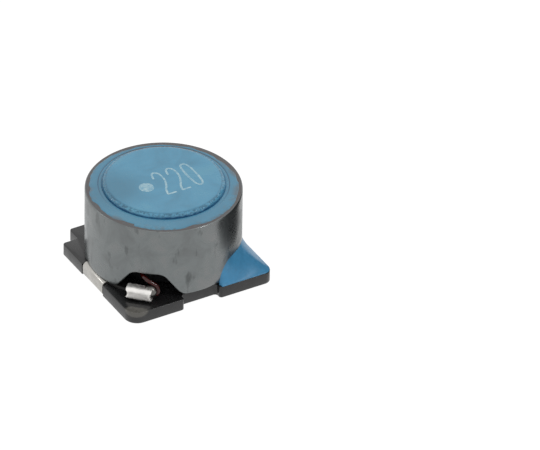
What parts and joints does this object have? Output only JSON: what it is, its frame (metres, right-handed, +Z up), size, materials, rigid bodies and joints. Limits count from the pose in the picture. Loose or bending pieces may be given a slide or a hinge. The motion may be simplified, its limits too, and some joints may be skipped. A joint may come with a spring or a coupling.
{
  "type": "shielded smd inductor",
  "caption": "Square surface-mount inductor: drum core and winding inside a round ferrite shield on a moulded base with two folded terminals, sealed with epoxy.",
  "frame": {"origin": "centre of the square footprint, on the plane of the solder pads", "axes": "+Z up, away from the circuit board; +X across the part from one terminal to the other; the key notch is in the corner -X +Y and the epoxy fillet in the corner +X -Y"},
  "size_m": [0.0128, 0.0128, 0.0078],
  "materials": {
    "moulded_plastic": "satin black heat-resistant moulding",
    "tinned_strip": "bright tin over copper alloy",
    "ferrite": "ground grey ferrite, semi-gloss",
    "enamelled_wire": "glossy red-brown enamel on copper",
    "blue_epoxy": "glossy blue epoxy",
    "adhesive": "cured adhesive",
    "weld_metal": "smooth drop of melted tin and copper"
  },
  "bodies": {
    "root": {"base_plate": "moulded_plastic", "terminal_a": "tinned_strip", "terminal_b": "tinned_strip", "drum_adhesive": "adhesive", "drum_core": "ferrite", "winding": "enamelled_wire", "shield_ring": "ferrite", "top_epoxy": "blue_epoxy", "corner_epoxy": "blue_epoxy", "weld_bead_a": "weld_metal", "weld_bead_b": "weld_metal"}
  },
  "joints": []
}
